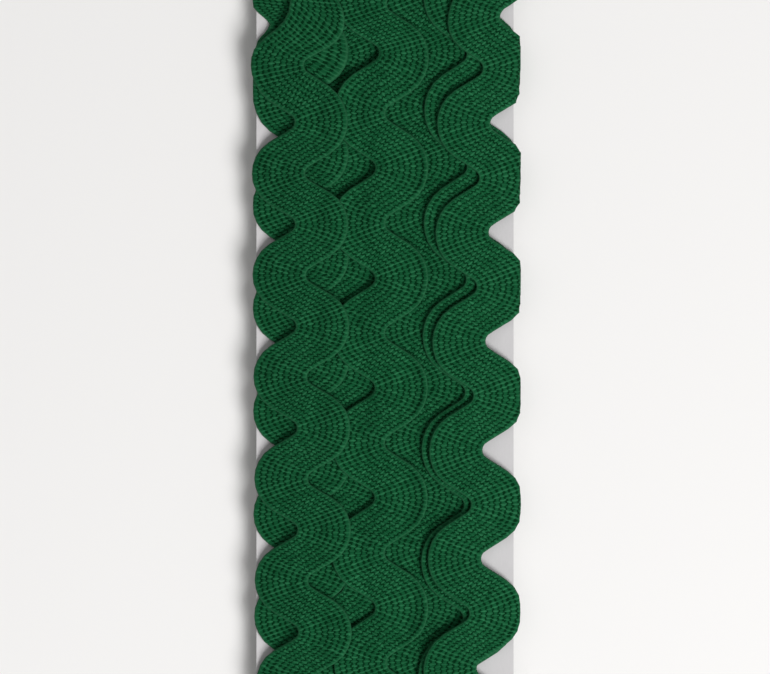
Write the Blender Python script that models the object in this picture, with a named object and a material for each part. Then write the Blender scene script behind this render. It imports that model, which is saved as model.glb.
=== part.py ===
"""Ric rac wound lengthwise on a flat card, lying on its back. Metres, +Z up, +Y along the card.

The winding is one solid that goes round the card, with a step in its surface at each edge of the ric rac that
shows. A point of it is given by three lengths: s along the loop round the card, from the middle of its front,
u across the card, and h out from the card's face. place() turns them into x, y and z.
"""

from collections import namedtuple
from math import cos, pi, radians, sin, tan

import bmesh
import bpy
import numpy as np

MM = 0.001

# The card
CARD_LENGTH = 151.6 * MM
CARD_WIDTH = 42.0 * MM
CARD_THICKNESS = 1.2 * MM
CARD_CORNER = 2.0 * MM
CARD_CORNER_STEPS = 4

# The ric rac. Each edge is a round tip, a straight slant and a tight inner corner, over and over.
TRIM_WIDTH = 15.8 * MM
TIP_RADIUS = 5.94 * MM
CORNER_RADIUS = 1.3 * MM
SLANT_RUN = 3.9 * MM
SLANT_ANGLE = radians(60)
HALF_WAVE = (TIP_RADIUS + CORNER_RADIUS) * sin(SLANT_ANGLE) + SLANT_RUN * cos(SLANT_ANGLE)
WAVE_HEIGHT = (TIP_RADIUS + CORNER_RADIUS) * (1 - cos(SLANT_ANGLE)) + SLANT_RUN * sin(SLANT_ANGLE)

# The winding
CLEARANCE = 0.3 * MM
BACK_DEPTH = 3.0 * MM
END_MIDDLE_RADIUS = 2.2 * MM
EASE_START = 57.0 * MM
FRONT_STEP = 1.3 * MM
BACK_STEP = 1.9 * MM
END_STEPS = 6
SAME_POINT = 0.03 * MM
LEAST_SPAN = 0.25 * MM

# Tips past the card's side edges bend down round them, drawn tight there, and end by the card's middle.
BEND_START = CARD_WIDTH / 2
BEND_MIDDLE_RADIUS = 1.2 * MM
BEND_HINGE = BEND_START + BEND_MIDDLE_RADIUS * pi / 4
BEND_TOP = 1.2 * MM
SHOULDER = 18.0 * MM
SHOULDER_SLOPE = 0.65
BEND_FINISH = BEND_START + BEND_MIDDLE_RADIUS * pi / 2
TIP_END = 0.15 * MM

END_LENGTH = pi * END_MIDDLE_RADIUS
LOOP_LENGTH = 2 * CARD_LENGTH + 2 * END_LENGTH
EASE_END = CARD_LENGTH / 2 + END_LENGTH
CARD_CENTRE_Z = BACK_DEPTH + CARD_THICKNESS / 2

# One row for each turn whose edges show, in millimetres: the middle of its run on the front and on the back,
# the waves in one turn, the place along the front of one of its right-hand tips, and the height of its top at
# its left and its right edge on the front, and on the back.
Turn = namedtuple("Turn", "front back waves tip_at left_top right_top back_top")
LOWER_LEFT = Turn(-13.8, -12.5, 19, 46.7, 1.15, 2.05, 2.20)
LOWER_MIDDLE = Turn(4.8, 4.8, 18, 46.7, 2.10, 1.35, 2.10)
LOWER_RIGHT = Turn(14.2, 12.5, 18, 46.2, 2.25, 1.20, 2.25)
UPPER_RIGHT = Turn(16.6, 12.7, 18, 43.7, 3.30, 1.60, 3.30)
UPPER_MIDDLE = Turn(-0.4, 0.2, 18, 45.4, 2.90, 2.85, 3.20)
UPPER_LEFT = Turn(-14.1, -12.7, 19, 51.6, 1.65, 3.70, 3.30)

# The gaps between turns, where the first turn or the card lies below
POCKET = Turn(0, 0, 18, 0, 1.25, 1.25, 1.25)
SLOT = Turn(0, 0, 18, 0, 0.80, 0.80, 0.80)

# The turn or gap that shows between each two neighbouring edges, left to right
SPANS = (LOWER_LEFT, UPPER_LEFT, LOWER_LEFT, POCKET, UPPER_MIDDLE)
SPANS += (LOWER_MIDDLE, SLOT, LOWER_RIGHT, UPPER_RIGHT, LOWER_RIGHT)

# Colour, roughness and metallic value
TRIM_FINISH = ((0.008, 0.085, 0.030, 1.0), 0.75, 0.0)
CARD_FINISH = ((0.56, 0.55, 0.54, 1.0), 0.85, 0.0)


def clear_scene():
    """Removes whatever the scene holds."""
    for item in list(bpy.data.objects):
        bpy.data.objects.remove(item, do_unlink=True)


def new_object(name, shape, look):
    """An object of a closed shape, in triangles with their faces outwards, with a material of its own."""
    bmesh.ops.triangulate(shape, faces=shape.faces)
    bmesh.ops.recalc_face_normals(shape, faces=shape.faces)
    mesh = bpy.data.meshes.new(name)
    shape.to_mesh(mesh)
    shape.free()
    item = bpy.data.objects.new(name, mesh)
    bpy.context.scene.collection.objects.link(item)
    colour, roughness, metallic = look
    material = bpy.data.materials.new(name)
    material.use_nodes = True
    shader = material.node_tree.nodes["Principled BSDF"]
    shader.inputs["Base Color"].default_value = colour
    shader.inputs["Roughness"].default_value = roughness
    shader.inputs["Metallic"].default_value = metallic
    mesh.materials.append(material)
    return item


def tip_drop(s, tip_at, wave):
    """How far an edge lies inside its own tips: a round tip, then a slant, then a tight inner corner."""
    from_tip = np.abs((s - tip_at + wave / 2) % wave - wave / 2) * (2 * HALF_WAVE / wave)
    to_corner = HALF_WAVE - from_tip
    tip_end = TIP_RADIUS * sin(SLANT_ANGLE)
    corner_start = CORNER_RADIUS * sin(SLANT_ANGLE)
    tip = TIP_RADIUS - np.sqrt(np.maximum(TIP_RADIUS**2 - from_tip**2, 0))
    slant = TIP_RADIUS * (1 - cos(SLANT_ANGLE)) + (from_tip - tip_end) * tan(SLANT_ANGLE)
    corner = WAVE_HEIGHT - CORNER_RADIUS + np.sqrt(np.maximum(CORNER_RADIUS**2 - to_corner**2, 0))
    return np.where(from_tip < tip_end, tip, np.where(to_corner < corner_start, corner, slant))


def ease(s):
    """0 on the front, 1 on the back, and a smooth change near the card's ends."""
    share = np.clip((np.abs(s) - EASE_START) / (EASE_END - EASE_START), 0, 1)
    return share**2 * (3 - 2 * share)


def edges(turn, s):
    """A turn's left and right edge at each place along the loop."""
    wave = LOOP_LENGTH / turn.waves
    middle = (turn.front + (turn.back - turn.front) * ease(s)) * MM
    left = middle - TRIM_WIDTH / 2 + tip_drop(s, turn.tip_at * MM + wave / 2, wave)
    right = middle + TRIM_WIDTH / 2 - tip_drop(s, turn.tip_at * MM, wave)
    return left, right


def top(turn, s, u):
    """The height of a turn's upper face. It slants from edge to edge, where it climbs over its neighbours."""
    left, right = edges(turn, s)
    share = np.clip((u - left) / (right - left), 0, 1)
    front = turn.left_top + (turn.right_top - turn.left_top) * share
    height = (front + (turn.back_top - front) * ease(s)) * MM
    return np.minimum(height, BEND_TOP + SHOULDER_SLOPE * np.maximum(BEND_START - np.abs(u), 0))


def stations():
    """Places along the loop for the rows of points: even steps on the front, the ends and the back."""
    front = np.linspace(0, CARD_LENGTH / 2, round(CARD_LENGTH / 2 / FRONT_STEP) + 1)
    end = np.linspace(CARD_LENGTH / 2, EASE_END, END_STEPS + 1)[1:]
    back = np.linspace(EASE_END, LOOP_LENGTH / 2, round(CARD_LENGTH / 2 / BACK_STEP) + 1)[1:]
    half = np.concatenate([front, end, back])
    return np.concatenate([-half[-2:0:-1], half])


def place(s, u, h):
    """Points of the part for lengths s along the loop, u across the card and h out from its face."""
    past = np.maximum(np.abs(u) - BEND_START, 0)
    angle = np.minimum(past / BEND_MIDDLE_RADIUS, pi / 2)
    hanging = np.maximum(past - BEND_MIDDLE_RADIUS * pi / 2, 0)
    x = np.sign(u) * (np.minimum(np.abs(u), BEND_START) + h * np.sin(angle))
    out = np.maximum(CARD_THICKNESS / 2 + h * np.cos(angle) - hanging, TIP_END)
    turned = np.clip((np.abs(s) - CARD_LENGTH / 2) / END_MIDDLE_RADIUS, 0, pi)
    along = np.minimum(np.abs(s), CARD_LENGTH / 2) - np.maximum(np.abs(s) - EASE_END, 0)
    y = np.sign(s) * (along + out * np.sin(turned))
    z = CARD_CENTRE_Z + out * np.cos(turned)
    return np.stack([x, y, np.maximum(z, 0)], axis=-1)


def visible_edges(s):
    """The edges that show across the winding, left to right, with hidden ones moved to the edge over them."""
    lower_left, lower_left_end = edges(LOWER_LEFT, s)
    upper_left, upper_left_end = edges(UPPER_LEFT, s)
    upper_middle, upper_middle_end = edges(UPPER_MIDDLE, s)
    lower_middle_end = edges(LOWER_MIDDLE, s)[1]
    lower_right, lower_right_end = edges(LOWER_RIGHT, s)
    upper_right, upper_right_end = edges(UPPER_RIGHT, s)

    upper_middle = np.maximum(upper_middle, upper_left_end)
    upper_right = np.maximum(upper_right, upper_middle_end)
    lower_right = np.clip(lower_right, upper_middle_end, upper_right)
    shown = [np.minimum(lower_left, upper_left), upper_left, upper_left_end]
    shown += [np.clip(lower_left_end, upper_left_end, upper_middle), upper_middle, upper_middle_end]
    shown += [np.clip(lower_middle_end, upper_middle_end, lower_right), lower_right]
    shown += [upper_right, upper_right_end, np.maximum(lower_right_end, upper_right_end)]
    for before, after in zip(range(len(SPANS)), range(1, len(shown))):
        narrow = shown[after] - shown[before] < LEAST_SPAN
        shown[after] = np.where(narrow, shown[before], shown[after])
    return shown


def span_heights(s, shown):
    """The height at both ends of each span. Where one is hidden, it takes the lower of those beside it."""
    starts = [top(turn, s, u) for turn, u in zip(SPANS, shown[:-1])]
    ends = [top(turn, s, u) for turn, u in zip(SPANS, shown[1:])]
    hidden = [after <= before for before, after in zip(shown[:-1], shown[1:])]
    unknown = np.full_like(s, np.inf)
    before, after = [], []
    for k in range(len(SPANS)):
        before.append(np.where(hidden[k], before[-1] if before else unknown, ends[k]))
    for k in reversed(range(len(SPANS))):
        after.insert(0, np.where(hidden[k], after[0] if after else unknown, starts[k]))
    for k in range(len(SPANS)):
        beside = np.minimum(before[k], after[k])
        starts[k] = np.where(hidden[k], beside, starts[k])
        ends[k] = np.where(hidden[k], beside, ends[k])
    return starts, ends


def section_points(s):
    """The winding's closed section at each place along the loop, as a row of points: over its turns, then back."""
    shown = visible_edges(s)
    starts, ends = span_heights(s, shown)
    rows = []
    for k, turn in enumerate(SPANS):
        rows.append((shown[k], starts[k]))
        bends = {UPPER_LEFT: (-BEND_HINGE, -SHOULDER), UPPER_RIGHT: (SHOULDER, BEND_HINGE)}
        for bend in bends.get(turn, ()):
            u = np.clip(np.full_like(s, bend), shown[k], shown[k + 1])
            rows.append((u, top(turn, s, u)))
        rows.append((shown[k + 1], ends[k]))
    for u in (shown[-1], BEND_FINISH, BEND_START, -BEND_START, -BEND_FINISH, shown[0]):
        inside = np.clip(np.broadcast_to(u, s.shape), shown[0], shown[-1])
        rows.append((inside, np.full_like(s, CLEARANCE)))
    return np.stack([place(s, u, h) for u, h in rows], axis=1)


def build_winding():
    """The wound ric rac. Neighbouring points of a section that coincide, where an edge is hidden, are one."""
    points = section_points(stations())
    rows, sides = points.shape[:2]
    steps = np.linalg.norm(np.diff(points, axis=1), axis=-1)
    shape = bmesh.new()
    verts = []
    for row in range(rows):
        line = [shape.verts.new(points[row, 0])]
        for side in range(1, sides):
            same = steps[row, side - 1] < SAME_POINT
            line.append(line[-1] if same else shape.verts.new(points[row, side]))
        verts.append(line)
    for row in range(rows):
        line, following = verts[row], verts[(row + 1) % rows]
        for side in range(sides):
            after = (side + 1) % sides
            corners = [line[side], line[after], following[after], following[side]]
            corners = [corner for k, corner in enumerate(corners) if corner is not corners[k - 1]]
            if len(corners) > 2:
                shape.faces.new(corners)
    winding = new_object("winding", shape, TRIM_FINISH)
    winding.data.shade_smooth()
    winding.data.set_sharp_from_angle(angle=radians(35))


def build_card():
    """The card: a flat board with rounded corners."""
    quarter = np.linspace(0, pi / 2, CARD_CORNER_STEPS + 1)
    angles = np.concatenate([quarter + turned * pi / 2 for turned in range(4)])
    centre_x = (CARD_WIDTH / 2 - CARD_CORNER) * np.repeat([1, -1, -1, 1], CARD_CORNER_STEPS + 1)
    centre_y = (CARD_LENGTH / 2 - CARD_CORNER) * np.repeat([1, 1, -1, -1], CARD_CORNER_STEPS + 1)
    outline = np.stack([centre_x + CARD_CORNER * np.cos(angles), centre_y + CARD_CORNER * np.sin(angles)], axis=1)
    shape = bmesh.new()
    low = CARD_CENTRE_Z - CARD_THICKNESS / 2
    base = shape.faces.new([shape.verts.new((x, y, low)) for x, y in outline])
    raised = bmesh.ops.extrude_face_region(shape, geom=[base])
    upper = [part for part in raised["geom"] if isinstance(part, bmesh.types.BMVert)]
    bmesh.ops.translate(shape, vec=(0, 0, CARD_THICKNESS), verts=upper)
    new_object("card", shape, CARD_FINISH)


clear_scene()
build_card()
build_winding()
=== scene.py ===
"""Wide ric rac wound lengthwise on a flat card, lying on its back. Metres, +Z up, +Y along the card.

The ric rac is one ribbon that goes round the card seven times and lies on the turns under it. Three
lengths give its shape: run, along the loop round the card, from the middle of the first turn's front;
across, sideways over the card; and height, out from the card's face. place() turns them into x, y and z.
"""
from collections import namedtuple
from math import cos, pi, radians, sin, tan

import bpy
import numpy as np
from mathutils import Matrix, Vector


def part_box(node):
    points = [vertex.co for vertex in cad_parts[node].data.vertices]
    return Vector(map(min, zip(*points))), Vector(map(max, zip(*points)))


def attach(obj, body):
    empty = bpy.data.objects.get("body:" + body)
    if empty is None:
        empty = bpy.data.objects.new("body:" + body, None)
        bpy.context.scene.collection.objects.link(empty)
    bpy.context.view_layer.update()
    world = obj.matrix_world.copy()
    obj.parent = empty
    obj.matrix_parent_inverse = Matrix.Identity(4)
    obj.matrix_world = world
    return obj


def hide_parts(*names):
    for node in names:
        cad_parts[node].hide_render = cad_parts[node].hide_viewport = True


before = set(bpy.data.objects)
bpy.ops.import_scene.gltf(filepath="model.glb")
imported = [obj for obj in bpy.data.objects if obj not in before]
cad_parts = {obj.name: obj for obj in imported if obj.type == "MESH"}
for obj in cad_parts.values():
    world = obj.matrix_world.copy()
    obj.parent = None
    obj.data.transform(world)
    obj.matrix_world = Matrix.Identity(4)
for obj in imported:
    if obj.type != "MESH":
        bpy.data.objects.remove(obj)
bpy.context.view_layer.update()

MM = 0.001

# The card, as the frame gives it
CARD_LOW, CARD_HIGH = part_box("card")
CARD_HALF_WIDTH = float(CARD_HIGH[0])
CARD_HALF_LENGTH = float(CARD_HIGH[1])
CARD_HALF_THICKNESS = float(CARD_HIGH[2] - CARD_LOW[2]) / 2
CARD_MIDDLE_Z = float(CARD_HIGH[2] + CARD_LOW[2]) / 2
BACK_DEPTH = CARD_MIDDLE_Z - CARD_HALF_THICKNESS

# The ric rac: its edges are round tips, straight slants and tight inner corners
TRIM_WIDTH = 15.8 * MM
TRIM_LENGTH = 2280 * MM
PLY = 0.95 * MM
TIP_RADIUS = 5.94 * MM
CORNER_RADIUS = 1.3 * MM
SLANT_RUN = 3.9 * MM
SLANT_ANGLE = radians(60)
HALF_WAVE = (TIP_RADIUS + CORNER_RADIUS) * sin(SLANT_ANGLE) + SLANT_RUN * cos(SLANT_ANGLE)
WAVE_HEIGHT = (TIP_RADIUS + CORNER_RADIUS) * (1 - cos(SLANT_ANGLE)) + SLANT_RUN * sin(SLANT_ANGLE)
USUAL_WAVE = 17.4 * MM

# The loop round the card
END_RADIUS = 2.2 * MM
END_RUN = pi * END_RADIUS
LOOP = 4 * CARD_HALF_LENGTH + 2 * END_RUN
BACK_START = CARD_HALF_LENGTH + END_RUN
LOW_AT, HIGH_AT, TOP_AT = -35 * MM, 36 * MM, 53 * MM
EVEN_TO = 60 * MM

# The turns in winding order, in mm. low, high and top are where a turn's middle line lies at LOW_AT,
# HIGH_AT and TOP_AT on the front, and back where it lies at the card's ends. wave is the length of one
# wave on the front, and tip_at the place of one of its right-hand tips.
Turn = namedtuple("Turn", "low high top back wave tip_at")
TURNS = (
    Turn(-6.0, -6.3, -6.3, -4.5, 17.3, 46.0),
    Turn(-13.6, -13.8, -13.8, -12.5, 16.8, 46.7),
    Turn(6.0, 5.5, 5.3, 4.8, 18.1, 46.7),
    Turn(13.7, 14.2, 14.1, 12.5, 18.4, 46.2),
    Turn(14.8, 16.3, 18.2, 12.7, 17.75, 43.7),
    Turn(-0.9, -0.8, -0.6, 0.2, 17.9, 45.4),
    Turn(-13.4, -13.9, -14.5, -12.7, 16.6, 51.6),
)

# Where an edge is uneven: at that place on the turn's front, and over spread mm to each side, its count
# of waves is late by so many waves and the edge lies further out by so many mm
Uneven = namedtuple("Uneven", "turn at spread late out")
LEFT_UNEVEN = (
    Uneven(1, 48, 10, 0.23, 0.0),
    Uneven(1, 50.5, 4, 0.0, 2.4),
    Uneven(1, 49.5, 2.3, 0.0, 2.4),
    Uneven(5, 47, 12, 0.055, -0.55),
    Uneven(6, 57, 5, 0.26, 0.0),
    Uneven(6, 44, 5, 0.06, 0.0),
)
RIGHT_UNEVEN = (
    Uneven(4, 50, 2.5, 0.0, -0.5),
    Uneven(6, 44, 5, 0.06, 0.0),
)

# The ribbon's ends, so that it is as long before the first front's middle as after the last one's
LAST_FRONT = (len(TURNS) - 1) * LOOP
TAIL = (TRIM_LENGTH - LAST_FRONT) / 2
RUN_START = -TAIL
RUN_END = LAST_FRONT + TAIL

# How the turns rest on each other
CELL = 0.25 * MM
ROWS_PER_LOOP = round(LOOP / CELL)
ROW = LOOP / ROWS_PER_LOOP
MARGIN_ROWS = 24
REACH = 26 * MM
SAG_ALONG = 0.03 / MM
SAG_ACROSS = 0.13 / MM
SOFTNESS = 0.55 * MM
EDGE_ROUND = 0.35 * MM
LIFT = 0.16 * MM
LIFT_ALONG = (9.1 * MM, 5.3 * MM)
LIFT_ACROSS = (7.3 * MM, -11 * MM)

# How the ribbon bends down over the card's long edges
SQUEEZE_FROM = 17.5 * MM
SQUEEZED = 0.62
LEAST_RADIUS = 0.25 * MM
LEAST_OUT = 0.15 * MM

# The ribbon's mesh
SECTIONS_PER_WAVE = 22
FAN = 0.88
RIM = 0.30 * MM
RIM_ANGLES = np.radians([-60, -20, 20, 60])
BEADS = np.array([RIM, 0.55 * MM, 0.85 * MM])
BEADS_END = 1.25 * MM
INNER_COLUMNS = 11
UNDER_COLUMNS = 7
BEAD_HEIGHT = 0.10
BAKE_ROWS = 11

# The weave
PICKS_PER_WAVE = 33.0
WARPS = 9.0
WEAVE_LINES = 13
COUNTED_RUNS = 80000

# The photograph's width and scale
PHOTO_WIDTH = 770
PIXELS_PER_MM = 6.14


def smoothstep(x):
    """0 below 0, 1 above 1, and a smooth S between them."""
    x = np.clip(x, 0, 1)
    return x * x * (3 - 2 * x)


def through(at, knots, values, slopes):
    """The cubic Hermite curve with the given value and slope at each knot, carried on straight past them."""
    n = np.clip(np.searchsorted(knots, at) - 1, 0, len(knots) - 2)
    gap = knots[n + 1] - knots[n]
    share = (at - knots[n]) / gap
    t = np.clip(share, 0, 1)
    start = (1 + 2 * t) * (1 - t) ** 2 * values[n] + t * (1 - t) ** 2 * gap * slopes[n]
    end = t**2 * (3 - 2 * t) * values[n + 1] + t**2 * (t - 1) * gap * slopes[n + 1]
    past = (share - t) * gap * np.where(share < 0, slopes[n], slopes[n + 1])
    return start + end + past


def middle_knots():
    """Knots of the middle line: the card's ends, and LOW_AT, HIGH_AT and TOP_AT on each turn's front."""
    knots = []
    for number, turn in enumerate(TURNS):
        front = number * LOOP
        lean = (turn.top - turn.high) * MM / (TOP_AT - HIGH_AT)
        knots += [
            (front - BACK_START, turn.back * MM, 0),
            (front + LOW_AT, turn.low * MM, 0),
            (front + HIGH_AT, turn.high * MM, 0),
            (front + TOP_AT, turn.top * MM, 1.5 * lean),
            (front + BACK_START, turn.back * MM, 0),
        ]
    return np.array(knots).T


def wave_knots():
    """Knots of the wave count: even on each front, with whole numbers at the right-hand tips."""
    knots = []
    count = 0
    for number, turn in enumerate(TURNS):
        front = number * LOOP
        if number:
            apart = LOOP + (turn.tip_at - TURNS[number - 1].tip_at) * MM
            count += round(apart / USUAL_WAVE)
        for run in (front - EVEN_TO, front + EVEN_TO):
            wave = turn.wave * MM
            knots.append((run, count + (run - front - turn.tip_at * MM) / wave, 1 / wave))
    return np.array(knots).T


MIDDLE_KNOTS = middle_knots()
WAVE_KNOTS = wave_knots()


def edge_drop(waves):
    """How far an edge lies inside its own tips, waves counted from one of them: a circle round the tip, a
    straight slant, and a smaller circle in the inner corner."""
    from_tip = np.abs((waves + 0.5) % 1 - 0.5) * 2 * HALF_WAVE
    to_corner = HALF_WAVE - from_tip
    tip_end = TIP_RADIUS * sin(SLANT_ANGLE)
    corner_start = CORNER_RADIUS * sin(SLANT_ANGLE)
    tip = TIP_RADIUS - np.sqrt(np.maximum(TIP_RADIUS**2 - from_tip**2, 0))
    slant = TIP_RADIUS * (1 - cos(SLANT_ANGLE)) + (from_tip - tip_end) * tan(SLANT_ANGLE)
    corner = WAVE_HEIGHT - CORNER_RADIUS + np.sqrt(np.maximum(CORNER_RADIUS**2 - to_corner**2, 0))
    return np.where(from_tip < tip_end, tip, np.where(to_corner < corner_start, corner, slant))


def bell(run, row):
    """1 at a row's place and near 0 past its spread: e to the minus square of the distance in spreads."""
    off = (run - row.turn * LOOP - row.at * MM) / (row.spread * MM)
    return np.exp(-off * off)


def count_waves(run, uneven):
    """The even count of waves, less a bell curve round each place where the edge is late."""
    return through(run, *WAVE_KNOTS) - sum(row.late * bell(run, row) for row in uneven)


def width_out(run, uneven):
    """Half the width, and a bell curve more round each place where the edge lies further out."""
    return TRIM_WIDTH / 2 + sum(row.out * MM * bell(run, row) for row in uneven)


def left_edge(run):
    """The middle line less the width on this side, plus the drop counted from the left-hand tips."""
    drop = edge_drop(count_waves(run, LEFT_UNEVEN) + 0.5)
    return through(run, *MIDDLE_KNOTS) - width_out(run, LEFT_UNEVEN) + drop


def right_edge(run):
    """The middle line plus the width on this side, less the drop counted from the right-hand tips."""
    drop = edge_drop(count_waves(run, RIGHT_UNEVEN))
    return through(run, *MIDDLE_KNOTS) + width_out(run, RIGHT_UNEVEN) - drop


def shifted(field, steps, axis):
    """The field moved by whole cells along an axis, its end rows repeated."""
    index = np.clip(np.arange(field.shape[axis]) - steps, 0, field.shape[axis] - 1)
    return np.take(field, index, axis)


def tented(field, fall, cell, axis):
    """The upper envelope of the parabolas that fall away on both sides of each cell."""
    reach = int(np.sqrt(4 * PLY / fall) / cell) + 1
    best = field
    for steps in range(1, reach + 1):
        drop = fall * (steps * cell) ** 2
        best = np.maximum(best, shifted(field, steps, axis) - drop)
        best = np.maximum(best, shifted(field, -steps, axis) - drop)
    return best


def softened(field, cell, axis):
    """The field blurred with a bell curve of width SOFTNESS."""
    reach = int(3 * SOFTNESS / cell)
    steps = np.arange(-reach, reach + 1)
    weights = np.exp(-0.5 * (steps * cell / SOFTNESS) ** 2)
    weights /= weights.sum()
    return sum(weight * shifted(field, step, axis) for step, weight in zip(steps, weights))


def looseness(run, across):
    """A few long slow waves, from 0 to about LIFT, by which the ribbon stands off what it lies on."""
    first = np.sin(run / LIFT_ALONG[0] + across / LIFT_ACROSS[0])
    second = np.sin(run / LIFT_ALONG[1] + across / LIFT_ACROSS[1] + 2)
    return LIFT * (0.5 + 0.25 * (first + second))


def stack_turns():
    """Lays the ribbon on the card from its start to its end, on a grid of run and across. A row's ground
    is the top of the row one loop earlier. The ribbon's underside there is the tented and softened ground
    plus its looseness, and inside the ribbon's edges the new top lies one ply higher, rounded off there."""
    lead = ROWS_PER_LOOP + 2 * MARGIN_ROWS
    rows = lead + int((RUN_END - RUN_START) / ROW) + 2 * MARGIN_ROWS
    runs = RUN_START + (np.arange(rows) - lead) * ROW
    across = np.arange(-REACH, REACH + CELL / 2, CELL)
    inside = np.minimum(across - left_edge(runs)[:, None], right_edge(runs)[:, None] - across)
    inside[(runs < RUN_START) | (runs > RUN_END)] = -1
    loose = looseness(runs[:, None], across)
    under = np.zeros((rows, len(across)))
    top = np.zeros_like(under)
    block = ROWS_PER_LOOP - MARGIN_ROWS
    for first in range(lead - MARGIN_ROWS, rows, block):
        last = min(first + block, rows)
        ground = top[first - ROWS_PER_LOOP - MARGIN_ROWS:last - ROWS_PER_LOOP + MARGIN_ROWS]
        rest = tented(tented(ground, SAG_ALONG, ROW, 0), SAG_ACROSS, CELL, 1)
        rest = softened(softened(rest, ROW, 0), CELL, 1)
        rest = np.maximum(rest, ground)[MARGIN_ROWS:-MARGIN_ROWS]
        ground = ground[MARGIN_ROWS:-MARGIN_ROWS]
        rest = rest + loose[first:last]
        under[first:last] = rest
        edge = inside[first:last]
        ply = PLY * np.sqrt(np.clip(edge / EDGE_ROUND, 0, 1))
        top[first:last] = np.where(edge > 0, rest + ply, ground)
    return runs, across, under, top


RUNS, ACROSS, UNDER, TOP = stack_turns()
ON_BACK = np.abs((RUNS + LOOP / 2) % LOOP - LOOP / 2) > BACK_START
BACK_PRESS = min(1.0, BACK_DEPTH / float(TOP[ON_BACK].max()))


def height_under(run, across):
    """The underside's height, read from the grid by bilinear interpolation."""
    row = np.clip((run - RUNS[0]) / ROW, 0, len(RUNS) - 1.001)
    column = np.clip((across - ACROSS[0]) / CELL, 0, len(ACROSS) - 1.001)
    i = row.astype(int)
    j = column.astype(int)
    p = row - i
    q = column - j
    near = UNDER[i, j] * (1 - q) + UNDER[i, j + 1] * q
    far = UNDER[i + 1, j] * (1 - q) + UNDER[i + 1, j + 1] * q
    return near * (1 - p) + far * p


def place(run, across, height, middle_height):
    """Wraps the ribbon round the card. Past a long edge it bends down round the card's corner, with its own
    height as the radius and the ply's middle keeping its length, and then hangs straight. Past an end it
    goes round a half circle to the back."""
    s = (run + LOOP / 2) % LOOP - LOOP / 2
    side = np.abs(across)
    squeeze = 1 - (1 - SQUEEZED) * smoothstep((side - SQUEEZE_FROM) / (CARD_HALF_WIDTH - SQUEEZE_FROM))
    press = 1 - (1 - BACK_PRESS) * smoothstep((np.abs(s) - CARD_HALF_LENGTH) / END_RUN)
    height = height * squeeze * press
    radius = np.maximum(middle_height * squeeze * press, LEAST_RADIUS)
    past = np.maximum(side - CARD_HALF_WIDTH, 0)
    angle = np.minimum(past / radius, pi / 2)
    hanging = np.maximum(past - radius * pi / 2, 0)
    x = np.sign(across) * (np.minimum(side, CARD_HALF_WIDTH) + height * np.sin(angle))
    out = np.maximum(CARD_HALF_THICKNESS + height * np.cos(angle) - hanging, LEAST_OUT - CARD_MIDDLE_Z)
    turned = np.clip((np.abs(s) - CARD_HALF_LENGTH) / END_RADIUS, 0, pi)
    along = np.minimum(np.abs(s), CARD_HALF_LENGTH) - np.maximum(np.abs(s) - BACK_START, 0)
    y = np.sign(s) * (along + out * np.sin(turned))
    z = CARD_MIDDLE_Z + out * np.cos(turned)
    return np.stack([x, y, np.maximum(z, 0)], axis=-1)


def section_outline():
    """One section through the ribbon, as a ring that goes up the left rim, over the top, down the right rim
    and back underneath. Each point lies at share times the section's width plus offset, and level times the
    ply up. The rims are half circles, and a low bead runs along each of them on top."""
    inner = np.linspace(0, 1, INNER_COLUMNS)
    top_share = np.concatenate([BEADS * 0, inner, BEADS * 0 + 1])
    top_offset = np.concatenate([BEADS, BEADS_END * (1 - 2 * inner), -BEADS[::-1]])
    bead = np.array([0.0, 1.0, 0.2]) * BEAD_HEIGHT
    top_level = np.concatenate([1 + bead, np.ones(INNER_COLUMNS), 1 + bead[::-1]])
    back = np.linspace(1, 0, UNDER_COLUMNS)
    rim_offset = RIM * (1 - np.cos(RIM_ANGLES))
    rim_level = 0.5 + 0.5 * np.sin(RIM_ANGLES)
    share = np.concatenate([rim_offset * 0, top_share, rim_offset * 0 + 1, back])
    offset = np.concatenate([rim_offset, top_offset, -rim_offset, RIM * (1 - 2 * back)])
    level = np.concatenate([rim_level, top_level, rim_level[::-1], back * 0])
    return share, offset, level


def run_at(waves, uneven):
    """Where an edge's count of waves reaches the given ones, read back from a fine table of the count."""
    runs = np.linspace(RUN_START - 3 * USUAL_WAVE, RUN_END + 3 * USUAL_WAVE, COUNTED_RUNS)
    return np.interp(waves, count_waves(runs, uneven), runs)


def section_ends(waves):
    """Both ends of the sections, as run and across. A section's right end runs ahead of its middle and its
    left end behind by a sine of the wave, so that sections fan out at the tips and stay square to the
    slants."""
    ahead = FAN / (2 * pi) * np.sin(2 * pi * waves)
    left_run = run_at(waves - ahead, LEFT_UNEVEN)
    right_run = run_at(waves + ahead, RIGHT_UNEVEN)
    left = np.stack([left_run, left_edge(left_run)], axis=-1)
    right = np.stack([right_run, right_edge(right_run)], axis=-1)
    return left, right


def weave_rows(left, right):
    """How far the weave has come at each section, in waves, along WEAVE_LINES lines from edge to edge. Each
    line counts its own length, so the stitches keep one size, and all lines agree at every right-hand tip."""
    lines = np.linspace(0, 1, WEAVE_LINES)[:, None]
    points = left[:, None] + (right - left)[:, None] * lines
    steps = np.linalg.norm(np.diff(points, axis=0), axis=-1).reshape(-1, SECTIONS_PER_WAVE, WEAVE_LINES)
    share = np.cumsum(steps, axis=1) / steps.sum(axis=1, keepdims=True)
    done = (share + np.arange(len(share))[:, None, None]).reshape(-1, WEAVE_LINES)
    return np.concatenate([np.zeros((1, WEAVE_LINES)), done])


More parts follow.
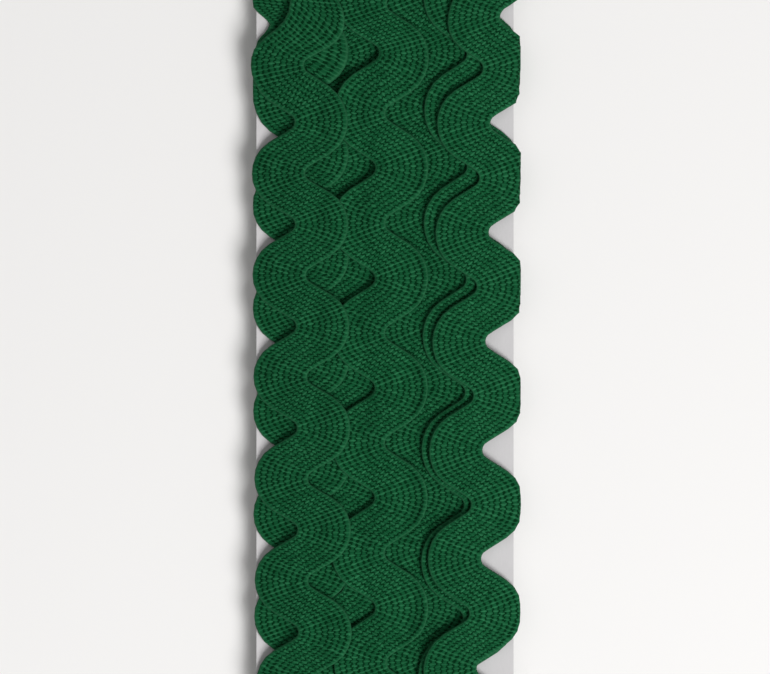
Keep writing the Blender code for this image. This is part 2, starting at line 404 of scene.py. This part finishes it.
def ribbon_points():
    """The ribbon's points, as sections by ring points, with the weave's coordinates there: the share of the
    width, the length in waves, and how fast that length changes across the width."""
    first, last = through(np.array([RUN_START, RUN_END]), *WAVE_KNOTS)
    whole = np.arange(np.floor(first) * SECTIONS_PER_WAVE, np.ceil(last) * SECTIONS_PER_WAVE + 1)
    waves = whole / SECTIONS_PER_WAVE
    left, right = section_ends(waves)
    rows = weave_rows(left, right)
    slopes = np.gradient(rows, 1 / (WEAVE_LINES - 1), axis=1)
    shown = (waves >= first) & (waves <= last)
    left, right, rows, slopes = left[shown], right[shown], rows[shown], slopes[shown]
    width = np.linalg.norm(right - left, axis=-1)[:, None]
    share, offset, level = section_outline()
    part = share + offset / width
    run = left[:, :1] + (right - left)[:, :1] * part
    across = left[:, 1:] + (right - left)[:, 1:] * part
    under = height_under(run, across)
    points = place(run, across, under + PLY * level, under + PLY / 2)
    line = np.clip(part * (WEAVE_LINES - 1), 0, WEAVE_LINES - 1.001)
    near = line.astype(int)
    row = np.arange(len(part))[:, None]
    along = rows[row, near] + (rows[row, near + 1] - rows[row, near]) * (line - near)
    slope = slopes[row, near] + (slopes[row, near + 1] - slopes[row, near]) * (line - near)
    return points, {"weave_across": part, "weave_along": along, "weave_slope": slope}


def grid_faces(sections, ring):
    """The four corners of each face between neighbouring sections, the ring closed on itself."""
    n = np.arange(sections - 1)[:, None] * ring
    a = np.arange(ring)
    b = (a + 1) % ring
    return np.stack([n + a, n + b, n + ring + b, n + ring + a], axis=-1).reshape(-1, 4)


def bake_places(sections, ring):
    """A map for baking: the ribbon in BAKE_ROWS lengths, laid in rows, with the ring unrolled upwards."""
    per_row = -(-(sections - 1) // BAKE_ROWS)
    n = np.repeat(np.arange(sections - 1), ring)
    r = np.tile(np.arange(ring), sections - 1)
    row = n // per_row
    along = (n % per_row)[:, None] + np.array([0, 0, 1, 1])
    round_ring = r[:, None] + np.array([0, 1, 1, 0])
    u = 0.002 + 0.996 * along / per_row
    v = (row[:, None] + 0.01 + 0.97 * round_ring / ring) / BAKE_ROWS
    return np.stack([u, v], axis=-1).reshape(-1, 2)


def make_ribbon():
    """The closed ribbon, with the weave's coordinates as attributes and a map for baking."""
    points, weave_places = ribbon_points()
    sections, ring = points.shape[:2]
    quads = grid_faces(sections, ring)
    start_cap = list(range(ring))[::-1]
    end_cap = [(sections - 1) * ring + r for r in range(ring)]
    mesh = bpy.data.meshes.new("ric_rac")
    mesh.from_pydata(points.reshape(-1, 3).tolist(), [], quads.tolist() + [start_cap, end_cap])
    mesh.shade_smooth()
    for name, values in weave_places.items():
        mesh.attributes.new(name, "FLOAT", "POINT").data.foreach_set("value", values.ravel().astype("f"))
    places = np.zeros((len(mesh.loops), 2))
    places[:len(quads) * 4] = bake_places(sections, ring)
    mesh.uv_layers.new(name="OFBake").data.foreach_set("uv", places.ravel().astype("f"))
    ribbon = bpy.data.objects.new("ric_rac", mesh)
    bpy.context.scene.collection.objects.link(ribbon)
    return ribbon


class Nodes:
    """Adds nodes to a tree, a short call for each."""

    def __init__(self, tree):
        self.tree = tree

    def add(self, kind, **values):
        """A new node with the given settings."""
        node = self.tree.nodes.new(kind)
        for name, value in values.items():
            setattr(node, name, value)
        return node

    def feed(self, socket, value):
        """Links an output to the socket, or sets the socket to a plain value."""
        if isinstance(value, bpy.types.NodeSocket):
            self.tree.links.new(value, socket)
        else:
            socket.default_value = value

    def math(self, operation, *values, clamp=False):
        """The operation's result for the given values."""
        node = self.add("ShaderNodeMath", operation=operation, use_clamp=clamp)
        for socket, value in zip(node.inputs, values):
            self.feed(socket, value)
        return node.outputs[0]

    def blend(self, share, low, high):
        """A colour between low and high."""
        node = self.add("ShaderNodeMix", data_type="RGBA")
        self.feed(node.inputs["Factor"], share)
        self.feed(node.inputs[6], low)
        self.feed(node.inputs[7], high)
        return node.outputs[2]

    def ramp(self, value, low, high):
        """0 at low, 1 at high, smooth between them."""
        node = self.add("ShaderNodeMapRange", interpolation_type="SMOOTHSTEP")
        self.feed(node.inputs["Value"], value)
        self.feed(node.inputs["From Min"], low)
        self.feed(node.inputs["From Max"], high)
        return node.outputs["Result"]

    def noise(self, vector, scale, detail=2.0, roughness=0.5):
        """A noise between 0 and 1."""
        node = self.add("ShaderNodeTexNoise")
        self.feed(node.inputs["Vector"], vector)
        self.feed(node.inputs["Scale"], scale)
        self.feed(node.inputs["Detail"], detail)
        self.feed(node.inputs["Roughness"], roughness)
        return node.outputs["Fac"]

    def vector(self, x, y, z=0.0):
        """A vector of three values."""
        node = self.add("ShaderNodeCombineXYZ")
        for socket, value in zip(node.inputs, (x, y, z)):
            self.feed(socket, value)
        return node.outputs[0]


def new_group(name, inputs, outputs):
    """An empty shader node group with float inputs and outputs of the given names."""
    group = bpy.data.node_groups.new(name, "ShaderNodeTree")
    for label, value in inputs.items():
        socket = group.interface.new_socket(label, in_out="INPUT", socket_type="NodeSocketFloat")
        socket.default_value = value
    for label in outputs:
        group.interface.new_socket(label, in_out="OUTPUT", socket_type="NodeSocketFloat")
    nodes = Nodes(group)
    return group, nodes, nodes.add("NodeGroupInput"), nodes.add("NodeGroupOutput")


def weave_group():
    """A close weave in cells. In each cell a short float of weft lies across the ribbon, with the warp
    dipping under it half a pick further on. Neighbouring columns are half a pick apart. Each column counts
    its picks by the length of its own middle line, which Slope gives from the length here."""
    inputs = {"Across": 0.0, "Along": 0.0, "Slope": 0.0, "Warps": WARPS, "Picks": PICKS_PER_WAVE}
    group, n, given, out = new_group("close weave", inputs, ("Height", "Float", "Gap", "Tone"))
    wander = n.noise(n.vector(n.math("MULTIPLY", given.outputs["Across"], 9.0),
                              n.math("MULTIPLY", given.outputs["Along"], 26.0)), 1.0)
    wander = n.math("MULTIPLY", n.math("SUBTRACT", wander, 0.5), 0.75)
    x = n.math("ADD", n.math("MULTIPLY", given.outputs["Across"], given.outputs["Warps"]), wander)
    column = n.math("FLOOR", x)
    across = n.math("SUBTRACT", n.math("SUBTRACT", x, column), 0.5)
    stagger = n.math("MULTIPLY", n.math("MODULO", column, 2.0), 0.5)
    to_middle = n.math("DIVIDE", n.math("MULTIPLY", across, -1.0), given.outputs["Warps"])
    own = n.math("ADD", given.outputs["Along"], n.math("MULTIPLY", to_middle, given.outputs["Slope"]))
    y = n.math("ADD", n.math("MULTIPLY", own, given.outputs["Picks"]), stagger)
    y = n.math("ADD", y, wander)
    row = n.math("FLOOR", y)
    along = n.math("SUBTRACT", n.math("SUBTRACT", y, row), 0.5)
    # The weft's float
    wide = n.math("POWER", n.math("DIVIDE", n.math("ABSOLUTE", across), 0.60), 2.0)
    high = n.math("POWER", n.math("DIVIDE", n.math("ABSOLUTE", along), 0.30), 2.0)
    weft = n.math("SUBTRACT", 1.0, n.math("ADD", wide, high), clamp=True)
    weft = n.math("POWER", weft, 0.6)
    # The warp between two floats
    off = n.math("SUBTRACT", 0.5, n.math("ABSOLUTE", along))
    wide = n.math("POWER", n.math("DIVIDE", n.math("ABSOLUTE", across), 0.34), 2.0)
    high = n.math("POWER", n.math("DIVIDE", off, 0.34), 2.0)
    warp = n.math("SUBTRACT", 1.0, n.math("ADD", wide, high), clamp=True)
    warp = n.math("MULTIPLY", n.math("POWER", warp, 0.6), 0.72)
    height = n.math("MAXIMUM", weft, warp)
    gap = n.math("SUBTRACT", 1.0, n.ramp(height, 0.05, 0.5))
    tone = n.add("ShaderNodeTexWhiteNoise", noise_dimensions="2D")
    n.feed(tone.inputs["Vector"], n.vector(column, row))
    n.feed(out.inputs["Height"], height)
    n.feed(out.inputs["Float"], weft)
    n.feed(out.inputs["Gap"], gap)
    n.feed(out.inputs["Tone"], tone.outputs["Value"])
    return group


def fibre_group():
    """Fine uneven fibres: noise drawn out along one direction, with a coarser mottle over it."""
    inputs = {"Along": 0.0, "Across": 0.0, "Draw": 8.0}
    group, n, given, out = new_group("fine fibres", inputs, ("Fibre", "Mottle"))
    drawn = n.math("DIVIDE", given.outputs["Along"], given.outputs["Draw"])
    fibre = n.noise(n.vector(drawn, given.outputs["Across"]), 1.0, 3.0, 0.6)
    mottle = n.noise(n.vector(given.outputs["Along"], given.outputs["Across"]), 0.06, 2.0)
    n.feed(out.inputs["Fibre"], fibre)
    n.feed(out.inputs["Mottle"], mottle)
    return group


def new_material(name):
    """A material, the short calls for its nodes, and its surface node."""
    material = bpy.data.materials.new(name)
    material.use_nodes = True
    nodes = Nodes(material.node_tree)
    surface = material.node_tree.nodes["Principled BSDF"]
    return material, nodes, surface


def use_group(nodes, group, **values):
    """The outputs of a group that is fed with the given values."""
    node = nodes.add("ShaderNodeGroup", node_tree=group)
    for name, value in values.items():
        nodes.feed(node.inputs[name], value)
    return node.outputs


def ric_rac_material(weave, fibres):
    """Dark green yarn. Painted shade makes it near black in the weave's holes, and painted highlights lighten
    the floats and a pale line along each rim.
    """
    material, n, surface = new_material("green yarn")
    across = n.add("ShaderNodeAttribute", attribute_name="weave_across").outputs["Fac"]
    along = n.add("ShaderNodeAttribute", attribute_name="weave_along").outputs["Fac"]
    slope = n.add("ShaderNodeAttribute", attribute_name="weave_slope").outputs["Fac"]
    woven = use_group(n, weave, Across=across, Along=along, Slope=slope)
    fine = use_group(n, fibres, Across=n.math("MULTIPLY", along, 400.0),
                     Along=n.math("MULTIPLY", across, 90.0), Draw=6.0)
    # Painted highlight: a pale line along each rim, where the rounded edge would catch the light. The rim
    # also lifts the relief there, which keeps it out of the painted hole shade.
    to_rim = n.math("MINIMUM", across, n.math("SUBTRACT", 1.0, across))
    rim = n.math("SUBTRACT", 1.0, n.ramp(to_rim, 0.024, 0.046))
    # Painted shade: where the weave's height is low, in its holes, the colour goes to near black. The same
    # height, with the rim lifted, is also the bump's relief.
    depth = n.math("MAXIMUM", woven["Height"], n.math("MULTIPLY", rim, 0.85))
    body = n.blend(n.ramp(depth, 0.0, 0.55), (0.0006, 0.0220, 0.0060, 1), (0.0050, 0.0700, 0.0240, 1))
    # Painted highlight: the weft floats are made lighter, by a random amount in each cell, and the same mask
    # makes them less rough.
    float_highlight_and_gloss = n.math("MULTIPLY", woven["Float"], n.math("ADD", 0.25, woven["Tone"]))
    yarn = n.blend(n.math("MULTIPLY", float_highlight_and_gloss, 0.75), body, (0.0200, 0.1400, 0.0570, 1))
    yarn = n.blend(n.math("MULTIPLY", rim, 0.55), yarn, (0.0210, 0.1100, 0.0480, 1))
    shade = n.math("ADD", 0.72, n.math("MULTIPLY", fine["Mottle"], 0.56))
    shade = n.math("MULTIPLY", shade, n.math("ADD", 0.80, n.math("MULTIPLY", fine["Fibre"], 0.40)))
    tint = n.add("ShaderNodeMix", data_type="RGBA", blend_type="MULTIPLY")
    n.feed(tint.inputs["Factor"], 1.0)
    n.feed(tint.inputs[6], yarn)
    n.feed(tint.inputs[7], n.vector(shade, shade, shade))
    n.feed(surface.inputs["Base Color"], tint.outputs[2])
    n.feed(surface.inputs["Roughness"], n.math("SUBTRACT", 0.78, n.math("MULTIPLY", float_highlight_and_gloss, 0.25)))
    surface.inputs["Sheen Weight"].default_value = 0.03
    surface.inputs["Sheen Roughness"].default_value = 0.45
    surface.inputs["Sheen Tint"].default_value = (0.35, 1.0, 0.60, 1)
    surface.inputs["Specular IOR Level"].default_value = 0.06
    surface.inputs["Specular Tint"].default_value = (0.35, 1.0, 0.55, 1)
    relief = n.math("ADD", depth, n.math("MULTIPLY", fine["Fibre"], 0.12))
    bump = n.add("ShaderNodeBump")
    n.feed(bump.inputs["Strength"], 0.9)
    n.feed(bump.inputs["Distance"], 0.12 * MM)
    n.feed(bump.inputs["Height"], relief)
    n.feed(surface.inputs["Normal"], bump.outputs["Normal"])
    return material


def board_material(fibres):
    """Off-white card: pressed paper fibre, a faint mottle, and a slightly darker cut edge."""
    material, n, surface = new_material("off-white board")
    place_node = n.add("ShaderNodeTexCoord")
    parts = n.add("ShaderNodeSeparateXYZ")
    n.feed(parts.inputs[0], place_node.outputs["Object"])
    fine = use_group(n, fibres, Along=n.math("MULTIPLY", parts.outputs["Y"], 4000.0),
                     Across=n.math("MULTIPLY", parts.outputs["X"], 4000.0), Draw=5.0)
    off_face = n.math("ABSOLUTE", n.math("SUBTRACT", parts.outputs["Z"], CARD_MIDDLE_Z))
    cut = n.math("SUBTRACT", 1.0, n.ramp(off_face, 0.42 * MM, 0.56 * MM))
    layer = n.noise(n.vector(0.0, 0.0, n.math("MULTIPLY", parts.outputs["Z"], 9000.0)), 1.0)
    face = n.blend(fine["Mottle"], (0.560, 0.545, 0.550, 1), (0.640, 0.625, 0.635, 1))
    face = n.blend(n.math("MULTIPLY", fine["Fibre"], 0.35), face, (0.480, 0.465, 0.470, 1))
    side = n.blend(layer, (0.400, 0.380, 0.350, 1), (0.560, 0.540, 0.510, 1))
    n.feed(surface.inputs["Base Color"], n.blend(cut, face, side))
    n.feed(surface.inputs["Roughness"], n.math("ADD", 0.62, n.math("MULTIPLY", fine["Fibre"], 0.25)))
    bump = n.add("ShaderNodeBump")
    n.feed(bump.inputs["Strength"], 0.35)
    n.feed(bump.inputs["Distance"], 0.05 * MM)
    n.feed(bump.inputs["Height"], fine["Fibre"])
    n.feed(surface.inputs["Normal"], bump.outputs["Normal"])
    return material


def make_floor():
    """A plain pale floor."""
    half = 1.5
    colour = (0.86, 0.85, 0.84, 1)
    mesh = bpy.data.meshes.new("floor")
    corners = [(-half, -half, 0), (half, -half, 0), (half, half, 0), (-half, half, 0)]
    mesh.from_pydata(corners, [], [(0, 1, 2, 3)])
    material, _, surface = new_material("pale floor")
    surface.inputs["Base Color"].default_value = colour
    surface.inputs["Roughness"].default_value = 0.9
    mesh.materials.append(material)
    floor = bpy.data.objects.new("floor", mesh)
    bpy.context.scene.collection.objects.link(floor)


def make_light(name, place_at, size, power):
    """A square soft light that faces the card's middle."""
    data = bpy.data.lights.new(name, "AREA")
    data.size = size
    data.energy = power
    light = bpy.data.objects.new(name, data)
    light.location = place_at
    towards = -light.location
    light.rotation_euler = towards.to_track_quat("-Z", "Y").to_euler()
    bpy.context.scene.collection.objects.link(light)


def make_studio():
    """A firm soft light from the lower right, a weak one from the upper left, and an even pale sky."""
    make_light("key light", (0.55, -0.62, 1.0), 0.60, 17)
    make_light("fill light", (-0.6, 0.5, 1.3), 1.2, 2)
    world = bpy.data.worlds.new("studio")
    world.use_nodes = True
    sky = world.node_tree.nodes["Background"]
    sky.inputs["Color"].default_value = (1, 1, 1, 1)
    sky.inputs["Strength"].default_value = 0.25
    bpy.context.scene.world = world


def make_camera():
    """A camera straight above the card's middle, which sees as many mm as the photograph does."""
    seen_width = PHOTO_WIDTH / PIXELS_PER_MM * MM
    distance = 0.9
    top_of_winding = 7 * MM
    data = bpy.data.cameras.new("camera")
    data.sensor_width = 36
    data.lens = data.sensor_width * distance / seen_width
    data.clip_start = 0.01
    camera = bpy.data.objects.new("camera", data)
    camera.location = (0, 0, top_of_winding + distance)
    bpy.context.scene.collection.objects.link(camera)
    bpy.context.scene.camera = camera


bpy.context.scene.view_settings.view_transform = "Standard"
make_camera()
make_studio()
make_floor()

weave = weave_group()
fibres = fibre_group()
ribbon = make_ribbon()
ribbon.data.materials.append(ric_rac_material(weave, fibres))
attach(ribbon, "root")
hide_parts("winding")

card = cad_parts["card"]
card.material_slots[0].material = board_material(fibres)
